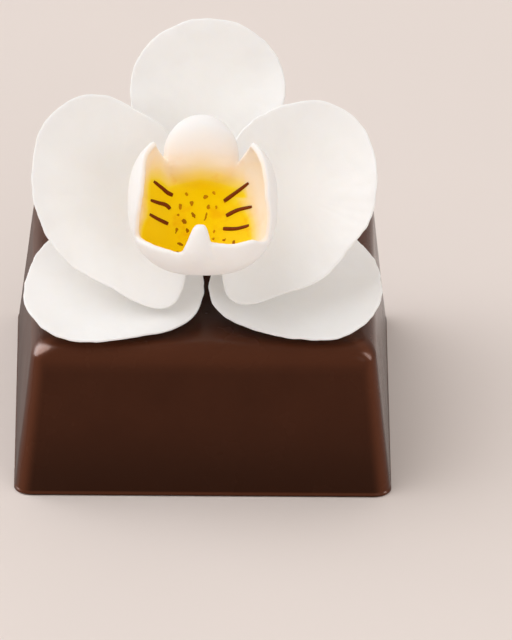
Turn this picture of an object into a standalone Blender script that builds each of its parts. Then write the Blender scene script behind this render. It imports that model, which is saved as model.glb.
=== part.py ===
# Square moulded chocolate bonbon with a sugar orchid standing on its top.
# Metres, +Z up, origin at the middle of the base; the decorated front looks along -Y.
# The driving sizes below are in millimetres and degrees.
import math

import bmesh
import bpy
from mathutils import Vector

MM = 0.001

# Chocolate block: a square with drafted sides, rounded corners and a soft top edge
BASE_WIDTH = 30.0
TOP_WIDTH = 27.2
BLOCK_HEIGHT = 12.75
CORNER_RADIUS = 1.4
TOP_FILLET = 1.05
TOP_CORNER_RADIUS = 0.5
FOOT_BEVEL = 0.22
CORNER_STEPS = 6
FILLET_STEPS = 5

# Petals and sepals: wavy discs, each on its own plane.
# lean is the slope of the plane from level, yaw turns it about Z.
# half holds the two half widths of the oval, and turn is the first one's direction in the plane.
# bulges are (direction, extra reach, spread): where the rim leaves the oval.
# cup is how deep the middle lies under the rim's plane.
# bends are (direction, spread, lift, start): where the rim rolls up or down.
# thick is (middle, rim).
PETALS = {
    "sepal_top": {
        "centre": (0.06, 2.10, 27.29), "lean": 56, "yaw": 0,
        "half": (6.38, 5.97), "turn": 17,
        "bulges": [(269, 1.71, 33), (182, -0.28, 22)],
        "cup": 1.0, "thick": (0.75, 0.5),
        "bends": [(335, 24, 0.5, 0.3), (20, 20, -0.35, 0.4), (120, 40, -0.25, 0.5)],
    },
    "petal_left": {
        "centre": (-7.58, -4.24, 22.14), "lean": 50, "yaw": -8,
        "half": (7.88, 6.15), "turn": 290,
        "bulges": [(80, -0.66, 22), (143, 0.21, 14), (303, 3.1, 19)],
        "cup": 1.4, "thick": (0.75, 0.5),
        "bends": [(303, 26, -0.25, 0.5), (180, 50, -0.3, 0.6), (60, 35, 0.3, 0.5)],
    },
    "petal_right": {
        "centre": (7.42, -4.18, 21.99), "lean": 50, "yaw": 8,
        "half": (8.14, 6.21), "turn": 253,
        "bulges": [(235, 2.67, 17), (303, -0.55, 19), (89, -0.88, 30)],
        "cup": 1.4, "thick": (0.75, 0.5),
        "bends": [(262, 26, 0.45, 0.6), (0, 40, 0.25, 0.6), (60, 30, -0.3, 0.6)],
    },
    "sepal_lower_left": {
        "centre": (-6.76, -6.70, 14.97), "lean": 14, "yaw": 0,
        "half": (6.50, 7.40), "turn": 210,
        "bulges": [(218, 1.81, 41), (283, -0.93, 29), (47, 0.95, 17)],
        "cup": 0.7, "thick": (0.65, 0.5),
        "bends": [(190, 40, 0.2, 0.6), (330, 30, -0.1, 0.6)],
    },
    "sepal_lower_right": {
        "centre": (7.91, -5.98, 15.15), "lean": 14, "yaw": 0,
        "half": (5.90, 7.69), "turn": 205,
        "bulges": [(115, -1.1, 31), (208, 2.03, 39), (142, 1.1, 15)],
        "cup": 0.7, "thick": (0.65, 0.5),
        "bends": [(350, 40, 0.2, 0.6)],
    },
}
PETAL_SECTORS = 54
PETAL_RINGS = (0.26, 0.5, 0.7, 0.86, 1.0)

# Lip: a pouch with a thin wall, opening up and forward along an axis this far above level
LIP_CENTRE = (0.02, -9.96, 24.1)
LIP_ELEVATION = 42.0
LIP_HALF_WIDTH = 6.1
LIP_HALF_HEIGHT = 5.65
LIP_BACK_DEPTH = 3.8
LIP_FRONT_DEPTH = 3.6
LIP_WALL = 0.55
HORN_EXTRA_WALL = 0.9
HORN_ROOT = 0.6
# The rim's angle from the back of the pouch; each feature is (direction, spread, extra angle, sharpness)
NOTCH_ANGLE = 40
LIP_FEATURES = {
    "left_lobe": (172, 39, 81, 6),
    "right_lobe": (7, 42, 84, 6),
    "front_wall": (-92, 50, 74, 6),
    "horn": (-96, 12, 34, 3),
}
LIP_SECTORS = 72
LIP_RINGS = 9

# Column: an egg that rises out of the notch at the back of the lip, moulded in one with it
COLUMN_CENTRE = (-0.08, -5.95, 26.5)
COLUMN_HALF = (2.85, 1.8, 3.3)
COLUMN_LEAN = 12
COLUMN_TAPER = 0.05
COLUMN_SEGMENTS = 28
COLUMN_RINGS = 16

# Heart: the knob of icing behind the petals, from the chocolate up to the lip and the column
# Each station is (y, z, radius) of its centre line
HEART_STATIONS = (
    (0.5, 13.05, 1.75), (0.35, 13.9, 1.6), (-0.3, 15.9, 1.4), (-1.9, 18.2, 1.35),
    (-3.6, 20.1, 1.25), (-4.9, 21.3, 0.88), (-6.15, 22.1, 0.8),
)
HEART_SEGMENTS = 20

# Finishes: base colour, roughness
CHOCOLATE = ((0.055, 0.020, 0.010), 0.32)
SUGAR_WHITE = ((0.86, 0.80, 0.74), 0.55)
THROAT_YELLOW = ((0.88, 0.60, 0.05), 0.5)


def clear_scene():
    for item in list(bpy.data.objects):
        bpy.data.objects.remove(item)


def make_material(name, finish):
    colour, roughness = finish
    material = bpy.data.materials.new(name)
    material.use_nodes = True
    shader = material.node_tree.nodes["Principled BSDF"]
    shader.inputs["Base Color"].default_value = (*colour, 1.0)
    shader.inputs["Roughness"].default_value = roughness
    shader.inputs["Metallic"].default_value = 0.0
    return material


def add_object(name, points, faces, material, smooth_angle=60):
    """One closed body from points in millimetres; its normals are turned outwards."""
    mesh = bpy.data.meshes.new(name)
    mesh.from_pydata([tuple(value * MM for value in point) for point in points], [], faces)
    body = bmesh.new()
    body.from_mesh(mesh)
    bmesh.ops.recalc_face_normals(body, faces=body.faces)
    body.to_mesh(mesh)
    body.free()
    mesh.shade_smooth()
    mesh.set_sharp_from_angle(angle=math.radians(smooth_angle))
    mesh.materials.append(material)
    piece = bpy.data.objects.new(name, mesh)
    bpy.context.collection.objects.link(piece)
    return piece


def bump(direction, centre, spread, sharpness=2):
    """1 at the centre direction, falling to 0 on both sides; all in degrees."""
    gap = abs((direction - centre + 180) % 360 - 180)
    return math.exp(-((gap / spread) ** sharpness))


def rounded_square(half, radius, height):
    """Points round a square with rounded corners, anticlockwise from the +X +Y corner."""
    ring = []
    for corner in range(4):
        middle = math.radians(45 + 90 * corner)
        centre_x = math.copysign(half - radius, math.cos(middle))
        centre_y = math.copysign(half - radius, math.sin(middle))
        for step in range(CORNER_STEPS + 1):
            angle = math.radians(90 * corner + 90 * step / CORNER_STEPS)
            ring.append((centre_x + radius * math.cos(angle),
                         centre_y + radius * math.sin(angle), height))
    return ring


def loft(rings):
    """Closed body through rings of equal count, bottom to top, with flat ends."""
    count = len(rings[0])
    points = [point for ring in rings for point in ring]
    faces = [tuple(reversed(range(count)))]
    for level in range(len(rings) - 1):
        low = level * count
        for k in range(count):
            following = (k + 1) % count
            faces.append((low + k, low + following, low + count + following, low + count + k))
    faces.append(tuple(range((len(rings) - 1) * count, len(rings) * count)))
    return points, faces


def make_chocolate():
    draft = math.atan2((BASE_WIDTH - TOP_WIDTH) / 2, BLOCK_HEIGHT)
    side_half = lambda height: BASE_WIDTH / 2 - height * math.tan(draft)
    rings = [
        rounded_square(BASE_WIDTH / 2 - FOOT_BEVEL, CORNER_RADIUS - FOOT_BEVEL, 0),
        rounded_square(side_half(FOOT_BEVEL), CORNER_RADIUS, FOOT_BEVEL),
    ]
    # The fillet turns from the drafted side to the level top
    turn = math.pi / 2 - draft
    centre_height = BLOCK_HEIGHT - TOP_FILLET
    centre_half = side_half(centre_height + TOP_FILLET * math.sin(draft)) - TOP_FILLET * math.cos(draft)
    for step in range(FILLET_STEPS + 1):
        angle = draft + turn * step / FILLET_STEPS
        half = centre_half + TOP_FILLET * math.cos(angle)
        share = step / FILLET_STEPS
        radius = CORNER_RADIUS + (TOP_CORNER_RADIUS - CORNER_RADIUS) * share
        rings.append(rounded_square(half, radius, centre_height + TOP_FILLET * math.sin(angle)))
    points, faces = loft(rings)
    add_object("chocolate", points, faces, make_material("dark_chocolate", CHOCOLATE), 25)


def petal_reach(spec, direction):
    """Distance from a petal's centre to its rim in one direction of its plane."""
    angle = math.radians(direction - spec["turn"])
    long_half, short_half = spec["half"]
    reach = 1 / math.hypot(math.cos(angle) / long_half, math.sin(angle) / short_half)
    for centre, extra, spread in spec["bulges"]:
        reach += extra * bump(direction, centre, spread)
    return reach


def petal_height(spec, direction, share):
    """Height over the rim's plane at a share of the way from the centre to the rim."""
    height = spec["cup"] * (share ** 2 - 1)
    for centre, spread, lift, start in spec["bends"]:
        rise = max(0.0, (share - start) / (1 - start))
        height += lift * bump(direction, centre, spread) * rise * rise
    return height


def petal_axes(spec):
    lean, yaw = math.radians(spec["lean"]), math.radians(spec["yaw"])
    across = Vector((math.cos(yaw), math.sin(yaw), 0))
    level = Vector((-math.sin(yaw), math.cos(yaw), 0))
    up_slope = level * math.cos(lean) + Vector((0, 0, math.sin(lean)))
    return across, up_slope, across.cross(up_slope)


def make_petal(name, spec, material):
    """A thin cupped disc: an upper and a lower skin with like triangles, and a rounded rim."""
    across, up_slope, normal = petal_axes(spec)
    centre = Vector(spec["centre"])
    middle_thick, rim_thick = spec["thick"]
    directions = [360 * k / PETAL_SECTORS for k in range(PETAL_SECTORS)]

    def place(direction, share, distance, offset):
        angle = math.radians(direction)
        spot = centre + (across * math.cos(angle) + up_slope * math.sin(angle)) * distance
        return spot + normal * (petal_height(spec, direction, share) + offset)

    points = []
    for side in (1, -1):
        points.append(place(0, 0, 0, side * middle_thick / 2))
        for share in PETAL_RINGS:
            thick = middle_thick + (rim_thick - middle_thick) * share ** 2
            for direction in directions:
                distance = share * (petal_reach(spec, direction) - rim_thick / 2)
                points.append(place(direction, share, distance, side * thick / 2))
    rim_start = len(points)
    for direction in directions:
        points.append(place(direction, 1, petal_reach(spec, direction), 0))

    skin = 1 + len(PETAL_RINGS) * PETAL_SECTORS
    faces = []
    for side, base in ((1, 0), (-1, skin)):
        for k in range(PETAL_SECTORS):
            following = (k + 1) % PETAL_SECTORS
            faces.append((base, base + 1 + k, base + 1 + following))
            for ring in range(len(PETAL_RINGS) - 1):
                inner = base + 1 + ring * PETAL_SECTORS
                outer = inner + PETAL_SECTORS
                faces.append((inner + k, outer + k, outer + following))
                faces.append((inner + k, outer + following, inner + following))
            edge = base + 1 + (len(PETAL_RINGS) - 1) * PETAL_SECTORS
            faces.append((edge + k, rim_start + k, rim_start + following))
            faces.append((edge + k, rim_start + following, edge + following))
    add_object(name, points, faces, material)


def lip_axes():
    elevation = math.radians(LIP_ELEVATION)
    across = Vector((1, 0, 0))
    upward = Vector((0, math.sin(elevation), math.cos(elevation)))
    outward = Vector((0, -math.cos(elevation), math.sin(elevation)))
    return across, upward, outward


def lip_point(direction, tip_angle, inset):
    """A point of the pouch: direction round its axis, angle from its back, distance in from outside."""
    across, upward, outward = lip_axes()
    angle, turn = math.radians(tip_angle), math.radians(direction)
    depth = LIP_BACK_DEPTH if tip_angle < 90 else LIP_FRONT_DEPTH
    return (Vector(LIP_CENTRE)
            + across * (LIP_HALF_WIDTH - inset) * math.sin(angle) * math.cos(turn)
            + upward * (LIP_HALF_HEIGHT - inset) * math.sin(angle) * math.sin(turn)
            - outward * (depth - inset) * math.cos(angle))


def lip_rim(direction):
    angle = NOTCH_ANGLE
    for centre, spread, extra, sharpness in LIP_FEATURES.values():
        angle += extra * bump(direction, centre, spread, sharpness)
    return angle


def make_pouch(name, material):
    """The lip's pouch: an outer and an inner skin that meet in a rim of lobes, wall and horn."""
    horn_direction, horn_spread, _, _ = LIP_FEATURES["horn"]
    directions = [360 * k / LIP_SECTORS for k in range(LIP_SECTORS)]
    points = []
    for inner in (False, True):
        points.append(lip_point(0, 0, LIP_WALL if inner else 0))
        for ring in range(1, LIP_RINGS + 1):
            share = ring / LIP_RINGS
            for direction in directions:
                horn = bump(direction, horn_direction, horn_spread) * max(0, share - HORN_ROOT)
                inset = LIP_WALL + HORN_EXTRA_WALL * horn if inner else 0
                points.append(lip_point(direction, lip_rim(direction) * share, inset))
    rim_start = len(points)
    rim_lead = math.degrees(LIP_WALL / 2 / LIP_HALF_HEIGHT)
    for direction in directions:
        points.append(lip_point(direction, lip_rim(direction) + rim_lead, LIP_WALL / 2))

    skin = 1 + LIP_RINGS * LIP_SECTORS
    faces = []
    for base in (0, skin):
        for k in range(LIP_SECTORS):
            following = (k + 1) % LIP_SECTORS
            faces.append((base, base + 1 + k, base + 1 + following))
            for ring in range(LIP_RINGS - 1):
                near = base + 1 + ring * LIP_SECTORS
                far = near + LIP_SECTORS
                faces.append((near + k, far + k, far + following, near + following))
            edge = base + 1 + (LIP_RINGS - 1) * LIP_SECTORS
            faces.append((edge + k, rim_start + k, rim_start + following, edge + following))
    return add_object(name, points, faces, material)


def make_column(name, material):
    """The column: an egg, fuller at its top, leaning back."""
    lean = math.radians(COLUMN_LEAN)
    half_x, half_y, half_z = COLUMN_HALF
    points = []
    for ring in range(COLUMN_RINGS + 1):
        angle = math.pi * ring / COLUMN_RINGS
        height = -half_z * math.cos(angle)
        girth = math.sin(angle) * (1 + COLUMN_TAPER * height / half_z)
        count = 1 if ring in (0, COLUMN_RINGS) else COLUMN_SEGMENTS
        for k in range(count):
            turn = 2 * math.pi * k / count
            x = half_x * girth * math.cos(turn)
            y = half_y * girth * math.sin(turn)
            points.append((COLUMN_CENTRE[0] + x,
                           COLUMN_CENTRE[1] + y * math.cos(lean) + height * math.sin(lean),
                           COLUMN_CENTRE[2] - y * math.sin(lean) + height * math.cos(lean)))
    faces = []
    last = len(points) - 1
    for k in range(COLUMN_SEGMENTS):
        following = (k + 1) % COLUMN_SEGMENTS
        faces.append((0, 1 + following, 1 + k))
        for ring in range(COLUMN_RINGS - 2):
            low = 1 + ring * COLUMN_SEGMENTS
            high = low + COLUMN_SEGMENTS
            faces.append((low + k, low + following, high + following, high + k))
        top = 1 + (COLUMN_RINGS - 2) * COLUMN_SEGMENTS
        faces.append((top + k, top + following, last))
    return add_object(name, points, faces, material)


def make_lip(material):
    """Pouch and column are one moulding: the column rises from the notch in the pouch's rim."""
    lip = make_pouch("lip", material)
    column = make_column("column_form", material)
    union = lip.modifiers.new("join_column", "BOOLEAN")
    union.operation = "UNION"
    union.solver = "EXACT"
    union.object = column
    bpy.context.view_layer.update()
    evaluated = lip.evaluated_get(bpy.context.evaluated_depsgraph_get())
    joined = bpy.data.meshes.new_from_object(evaluated)
    lip.modifiers.remove(union)
    lip.data = joined
    bpy.data.objects.remove(column)


def make_heart(material):
    """A leaning tube of icing with a flared foot; its sections stay square to its centre line."""
    rings = []
    for index, (y, z, radius) in enumerate(HEART_STATIONS):
        before = HEART_STATIONS[max(0, index - 1)]
        after = HEART_STATIONS[min(len(HEART_STATIONS) - 1, index + 1)]
        along = Vector((0, after[0] - before[0], after[1] - before[1])).normalized()
        if index == 0:
            along = Vector((0, 0, 1))
        side = Vector((1, 0, 0))
        upward = along.cross(side)
        ring = []
        for k in range(HEART_SEGMENTS):
            turn = 2 * math.pi * k / HEART_SEGMENTS
            offset = side * math.cos(turn) + upward * math.sin(turn)
            ring.append(tuple(Vector((0, y, z)) + offset * radius))
        rings.append(ring)
    points, faces = loft(rings)
    add_object("flower_heart", points, faces, material)


def main():
    clear_scene()
    sugar = make_material("white_sugar", SUGAR_WHITE)
    make_chocolate()
    for name, spec in PETALS.items():
        make_petal(name, spec, sugar)
    make_lip(make_material("throat_sugar", THROAT_YELLOW))
    make_heart(sugar)


main()
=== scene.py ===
# Square chocolate bonbon with a white sugar orchid: the finished look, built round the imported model.
# Sizes in the dictionaries are millimetres and degrees; mm turns them into metres.
import math

import bmesh
import bpy
import numpy as np
from mathutils import Matrix, Vector, noise


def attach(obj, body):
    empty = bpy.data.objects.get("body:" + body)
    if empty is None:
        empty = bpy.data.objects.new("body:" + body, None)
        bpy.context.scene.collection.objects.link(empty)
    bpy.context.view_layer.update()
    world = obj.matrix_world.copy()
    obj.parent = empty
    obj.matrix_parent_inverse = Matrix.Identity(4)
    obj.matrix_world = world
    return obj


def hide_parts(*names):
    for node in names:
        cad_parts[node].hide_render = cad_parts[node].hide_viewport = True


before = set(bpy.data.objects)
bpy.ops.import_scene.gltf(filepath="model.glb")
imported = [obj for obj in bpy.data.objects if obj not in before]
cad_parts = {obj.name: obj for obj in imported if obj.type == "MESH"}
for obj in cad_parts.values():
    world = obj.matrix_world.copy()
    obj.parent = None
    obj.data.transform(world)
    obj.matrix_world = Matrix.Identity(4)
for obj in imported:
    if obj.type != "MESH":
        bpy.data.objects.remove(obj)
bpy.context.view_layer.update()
mm = 0.001


# Node helpers

class Num:  # a number in a node tree: arithmetic on it adds Math nodes
    def __init__(self, tree, socket):
        self.tree = tree
        self.socket = socket

    def math(self, operation, *others):
        node = self.tree.nodes.new("ShaderNodeMath")
        node.operation = operation
        for entry, value in zip(node.inputs, (self, *others)):
            plug(self.tree, entry, value)
        return Num(self.tree, node.outputs[0])

    def __add__(self, other):
        return self.math("ADD", other)

    def __sub__(self, other):
        return self.math("SUBTRACT", other)

    def __mul__(self, other):
        return self.math("MULTIPLY", other)

    def __truediv__(self, other):
        return self.math("DIVIDE", other)

    def toPower(self, exponent):
        return self.math("POWER", exponent)

    def radians(self):
        return self.math("RADIANS")

    def cos(self):
        return self.math("COSINE")

    def sin(self):
        return self.math("SINE")


def plug(tree, entry, value):  # link a Num, a node's first output or a socket, or set a plain value
    if isinstance(value, Num):
        tree.links.new(value.socket, entry)
    elif isinstance(value, bpy.types.Node):
        tree.links.new(value.outputs[0], entry)
    elif isinstance(value, bpy.types.NodeSocket):
        tree.links.new(value, entry)
    else:
        entry.default_value = value


def addNode(tree, kind, settings=None, **entries):  # entries are named after the sockets, without spaces
    node = tree.nodes.new(kind)
    for key, value in (settings or {}).items():
        setattr(node, key, value)
    for key, value in entries.items():
        entry = next(s for s in node.inputs if s.name.replace(" ", "").lower() == key.lower() and s.enabled)
        plug(tree, entry, value)
    return node


def vectorMath(tree, operation, first, second=None, scale=None):
    node = tree.nodes.new("ShaderNodeVectorMath")
    node.operation = operation
    plug(tree, node.inputs[0], first)
    if second is not None:
        plug(tree, node.inputs[1], second)
    if scale is not None:
        plug(tree, node.inputs["Scale"], scale)
    return node


def addNoise(tree, place, scale, detail, roughness=0.5):
    node = addNode(tree, "ShaderNodeTexNoise", Vector=place, Scale=scale, Detail=detail, Roughness=roughness)
    return Num(tree, node.outputs["Fac"])


def addSockets(tree, side, sockets):  # sockets: (label, kind) or (label, kind, default)
    for label, kind, *default in sockets:
        socket = tree.interface.new_socket(name=label, in_out=side, socket_type="NodeSocket" + kind)
        if default:
            socket.default_value = default[0]


def startGeometryTree(name, inputs):
    tree = bpy.data.node_groups.new(name, "GeometryNodeTree")
    addSockets(tree, "INPUT", [("Geometry", "Geometry"), *inputs])
    addSockets(tree, "OUTPUT", [("Geometry", "Geometry")])
    groupInput = tree.nodes.new("NodeGroupInput")
    sockets = {"Geometry": groupInput.outputs["Geometry"]}
    for label, kind, *_ in inputs:
        socket = groupInput.outputs[label]
        sockets[label] = Num(tree, socket) if kind == "Float" else socket
    return tree, sockets


def endGeometryTree(tree, geometry, material):
    smooth = addNode(tree, "GeometryNodeSetShadeSmooth", Geometry=geometry)
    real = addNode(tree, "GeometryNodeRealizeInstances", Geometry=smooth)
    painted = addNode(tree, "GeometryNodeSetMaterial", Geometry=real, Material=material)
    plug(tree, tree.nodes.new("NodeGroupOutput").inputs[0], painted)


def namedFloat(tree, name):
    node = addNode(tree, "GeometryNodeInputNamedAttribute", {"data_type": "FLOAT"}, Name=name)
    return Num(tree, node.outputs["Attribute"])


def runTree(piece, tree, values):  # the tree's result becomes the piece's own plain mesh
    modifier = piece.modifiers.new(tree.name, "NODES")
    modifier.node_group = tree
    for item in tree.interface.items_tree:
        if item.item_type == "SOCKET" and item.in_out == "INPUT" and item.name in values:
            modifier[item.identifier] = values[item.name]
    bakeModifiers(piece)


def bakeModifiers(piece):
    bpy.context.view_layer.update()
    evaluated = piece.evaluated_get(bpy.context.evaluated_depsgraph_get())
    finished = bpy.data.meshes.new_from_object(evaluated)
    finished.name = piece.name
    piece.modifiers.clear()
    piece.data = finished


# Mesh helpers

def newPiece(name, points, faces, material=None, edges=()):  # points in metres
    mesh = bpy.data.meshes.new(name)
    mesh.from_pydata([tuple(point) for point in points], edges, faces)
    mesh.validate()
    if faces:
        mesh.shade_smooth()
    if material:
        mesh.materials.append(material)
    piece = bpy.data.objects.new(name, mesh)
    bpy.context.collection.objects.link(piece)
    return piece


def shellFaces(count, rings):  # a point, then rings of count points, then a point
    last = 1 + rings * count
    faces = []
    for k in range(count):
        following = (k + 1) % count
        faces.append((0, 1 + k, 1 + following))
        for low in range(1, last - count, count):
            faces.append((low + k, low + count + k, low + count + following, low + following))
        faces.append((last - count + k, last, last - count + following))
    return faces


def tubeFaces(count, rings, clockwise=False):  # rings of count points, closed at both ends
    last = (rings - 1) * count
    faces = [tuple(reversed(range(count)))]
    for low in range(0, last, count):
        for k in range(count):
            following = (k + 1) % count
            faces.append((low + k, low + following, low + count + following, low + count + k))
    faces.append(tuple(range(last, last + count)))
    if clockwise:
        faces = [(face[0], *face[:0:-1]) for face in faces]
    return faces


def setAttributes(piece, **layers):
    for name, values in layers.items():
        layer = piece.data.attributes.new(name, "FLOAT", "POINT")
        layer.data.foreach_set("value", np.asarray(values, dtype=np.float32))


def smoothStep(low, high, value):  # 0 at low, 1 at high, also where high is the smaller
    share = np.clip((value - low) / (high - low), 0, 1)
    return share * share * (3 - 2 * share)


def allSteps(values, **places):  # the product of the smooth steps that the values name
    product = 1.0
    for name, place in places.items():
        product = product * smoothStep(*values[name], place)
    return product


def ruffle(mesh, amount, length, keepBelow=0.0003):  # a slow wander of the surface, as cast or hand-made
    moves = []
    for vertex in mesh.vertices:
        wander = noise.noise(vertex.co / length) + 0.5 * noise.noise(vertex.co / length * 2.3)
        held = min(1.0, vertex.co.z / keepBelow) if keepBelow else 1.0
        moves.append(vertex.normal * wander * amount * held)
    for vertex, move in zip(mesh.vertices, moves):
        vertex.co += move


def finishPiece(piece, slot, *nodes):
    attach(piece, "root")
    if nodes:
        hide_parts(*nodes)
    print("made", piece.name, len(piece.data.polygons), "faces")


# Shader helpers

def linear(red, green, blue):  # screen colour 0 to 255 to the shader's linear values
    values = []
    for part in (red, green, blue):
        share = part / 255
        values.append(share / 12.92 if share <= 0.04045 else ((share + 0.055) / 1.055) ** 2.4)
    return (*values, 1.0)


def mixColour(tree, factor, first, second):
    node = tree.nodes.new("ShaderNodeMix")
    node.data_type = "RGBA"
    for index, value in ((0, factor), (6, first), (7, second)):
        plug(tree, node.inputs[index], value)
    return node.outputs[2]


def addRamp(tree, factor, stops):  # stops: (place, colour)
    node = addNode(tree, "ShaderNodeValToRGB", Fac=factor)
    ramp = node.color_ramp
    while len(ramp.elements) > 1:
        ramp.elements.remove(ramp.elements[-1])
    ramp.elements[0].position, ramp.elements[0].color = stops[0]
    for place, colour in stops[1:]:
        ramp.elements.new(place).color = colour
    return node.outputs["Color"]


def attribute(tree, name):
    return Num(tree, addNode(tree, "ShaderNodeAttribute", {"attribute_name": name}).outputs["Fac"])


def objectPlace(tree):
    return tree.nodes.new("ShaderNodeTexCoord").outputs["Object"]


# One surface effect for the sweet and the floor: broad mottling, and a height with grain in it for bump
def buildHandmadeSurface():
    group = bpy.data.node_groups.new("handmadeSurface", "ShaderNodeTree")
    addSockets(group, "INPUT", [("Vector", "Vector"), ("Mottle Scale", "Float", 400.0),
                                ("Grain Scale", "Float", 6000.0), ("Grain Share", "Float", 0.3)])
    addSockets(group, "OUTPUT", [("Mottle", "Float"), ("Height", "Float")])
    entry = group.nodes.new("NodeGroupInput").outputs
    result = group.nodes.new("NodeGroupOutput").inputs
    mottle = addNoise(group, entry["Vector"], entry["Mottle Scale"], detail=3.0)
    grain = addNoise(group, entry["Vector"], entry["Grain Scale"], detail=4.0, roughness=0.6)
    plug(group, result["Mottle"], mottle)
    plug(group, result["Height"], mottle + (grain - mottle) * Num(group, entry["Grain Share"]))
    return group


handmadeSurface = buildHandmadeSurface()


# A finish holds surface: (mottle scale, grain scale, grain share), bump: (strength, distance),
# shades: the mottling's two colours, and plain: the shader's values that are the same all over
def startMaterial(name, finish):
    material = bpy.data.materials.new(name)
    material.use_nodes = True
    tree = material.node_tree
    shader = tree.nodes["Principled BSDF"]
    for entry, value in finish["plain"].items():
        shader.inputs[entry].default_value = value
    surface = tree.nodes.new("ShaderNodeGroup")
    surface.node_tree = handmadeSurface
    plug(tree, surface.inputs["Vector"], objectPlace(tree))
    for entry, value in zip(("Mottle Scale", "Grain Scale", "Grain Share"), finish["surface"]):
        surface.inputs[entry].default_value = value
    mottle = Num(tree, surface.outputs["Mottle"])
    if "shades" in finish:
        plug(tree, shader.inputs["Base Color"], mixColour(tree, mottle, *finish["shades"]))
    if "bump" in finish:
        strength, distance = finish["bump"]
        plug(tree, shader.inputs["Normal"], addNode(
            tree, "ShaderNodeBump", Height=surface.outputs["Height"], Strength=strength, Distance=distance))
    return material, tree, shader, mottle


def tintMaterial(tree, shader, factor, colour):  # mixes a colour over what the shader has so far
    entry = shader.inputs["Base Color"]
    plug(tree, entry, mixColour(tree, factor, entry.links[0].from_socket, colour))


# Camera: where the photograph was taken from, as distances and angles about the bonbon

cameraView = {
    "elevation": 29.44,
    "azimuth": 0.62,
    "roll": 0.69,
    "distance": 1.0,
    "aimRight": 4.316,
    "aimUp": 6.678,
    "pixelsPerMm": 12.393,  # at the bonbon, in a picture 640 pixels high
    "pictureHeight": 640,
    "sensorHeight": 36.0,
}


def addCamera(view):
    rise, swing, roll = (math.radians(view[key]) for key in ("elevation", "azimuth", "roll"))
    turnBack = Matrix.Rotation(-swing, 3, "Z")
    right = turnBack @ Vector((1, 0, 0))
    up = turnBack @ Vector((0, math.sin(rise), math.cos(rise)))
    back = turnBack @ Vector((0, -math.cos(rise), math.sin(rise)))
    rolledRight = right * math.cos(roll) + up * math.sin(roll)
    rolledUp = up * math.cos(roll) - right * math.sin(roll)
    place = back * view["distance"] + rolledRight * view["aimRight"] * mm + rolledUp * view["aimUp"] * mm
    data = bpy.data.cameras.new("photoCamera")
    data.sensor_fit = "VERTICAL"
    data.sensor_height = view["sensorHeight"]
    pixelsAtUnit = view["pixelsPerMm"] / mm * view["distance"]
    data.lens = pixelsAtUnit * view["sensorHeight"] / view["pictureHeight"]
    data.clip_start, data.clip_end = 0.01, 20
    camera = bpy.data.objects.new("photoCamera", data)
    axes = Matrix((rolledRight, rolledUp, back)).transposed()
    camera.matrix_world = Matrix.Translation(place) @ axes.to_4x4()
    bpy.context.collection.objects.link(camera)
    bpy.context.scene.camera = camera


addCamera(cameraView)


# Studio: pale floor and surroundings, one large soft lamp high on the left and a weak low one in front

studio = {
    "floorSize": 3.0,
    "floorFinish": {
        "surface": (30.0, 900.0, 0.5),
        "shades": (linear(225, 215, 209), linear(230, 219, 212)),
        "plain": {"Roughness": 0.75, "Specular IOR Level": 0.0},
    },
    "worldColour": linear(246, 241, 237),
    "worldStrength": 0.765,
    "lampColour": (0.92, 0.945, 0.985),
    "lampAim": (0.0, 0.0, 0.012),
    # lamps: (name, place, (width, height), power, whether it makes highlights alone)
    "lamps": [
        ("keyLamp", (-0.42, 0.05, 0.64), (0.9, 0.9), 3.0, False),
        ("fillLamp", (0.35, -0.65, 0.33), (0.5, 0.5), 0.9, False),
        ("glintLamp", (-0.47, 0.109, 0.382), (0.5, 0.75), 24.0, True),
        ("glintRightLamp", (0.498, -0.099, 0.32), (0.18, 0.5), 5.0, True),
    ],
}


def addLamp(values, name, place, size, power, glossOnly):
    data = bpy.data.lights.new(name, "AREA")
    data.shape = "ELLIPSE"
    data.size, data.size_y = size
    data.energy = power
    data.color = values["lampColour"]
    lamp = bpy.data.objects.new(name, data)
    lamp.location = place
    aim = Vector(values["lampAim"]) - Vector(place)
    lamp.rotation_euler = aim.to_track_quat("-Z", "Y").to_euler()
    lamp.visible_diffuse = not glossOnly
    bpy.context.collection.objects.link(lamp)


def addStudio(values):
    half = values["floorSize"] / 2
    corners = [(-half, -half, 0), (half, -half, 0), (half, half, 0), (-half, half, 0)]
    floorMaterial = startMaterial("paperFloor", values["floorFinish"])[0]
    floor = newPiece("floor", corners, [(0, 1, 2, 3)], floorMaterial)
    world = bpy.data.worlds.new("studioSurroundings")
    world.use_nodes = True
    background = world.node_tree.nodes["Background"]
    background.inputs["Color"].default_value = values["worldColour"]
    background.inputs["Strength"].default_value = values["worldStrength"]
    bpy.context.scene.world = world
    for lamp in values["lamps"]:
        addLamp(values, *lamp)


addStudio(studio)
bpy.context.scene.view_settings.view_transform = "Standard"
print("set up the camera, the floor and", len(studio["lamps"]), "lamps")


# Finishes of the sweet

chocolateFinish = {
    "surface": (260.0, 5200.0, 0.25),
    "bump": (0.12, 0.00006),
    "shades": (linear(55, 27, 15), linear(66, 34, 20)),
    # painted shade: the darker brown near the floor
    "foot": linear(47, 23, 12),
    # painted highlight: a lighter, redder brown on the corners and the top rim, and a painted reflection as
    # a pale line at the foot
    "edges": linear(86, 46, 28),
    "roughness": 0.2,
    "mottleRoughness": 0.12,
    "dullRoughness": 0.4,  # more, on the side that is less glossy
    "plain": {"IOR": 1.26, "Specular Tint": (0.5, 0.25, 0.16, 1.0), "Coat Weight": 0.2,
              "Coat Roughness": 0.16, "Coat IOR": 1.3},
}


def makeChocolateMaterial(finish):
    material, tree, shader, mottle = startMaterial("darkChocolate", finish)
    # painted shade, darker towards the foot
    tintMaterial(tree, shader, attribute(tree, "deep"), finish["foot"])
    # painted highlight on the corners and the top rim, and a painted reflection at the foot
    tintMaterial(tree, shader, attribute(tree, "edge"), finish["edges"])
    rough = mottle * finish["mottleRoughness"] + finish["roughness"]
    plug(tree, shader.inputs["Roughness"], rough + attribute(tree, "dull") * finish["dullRoughness"])
    return material


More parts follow.
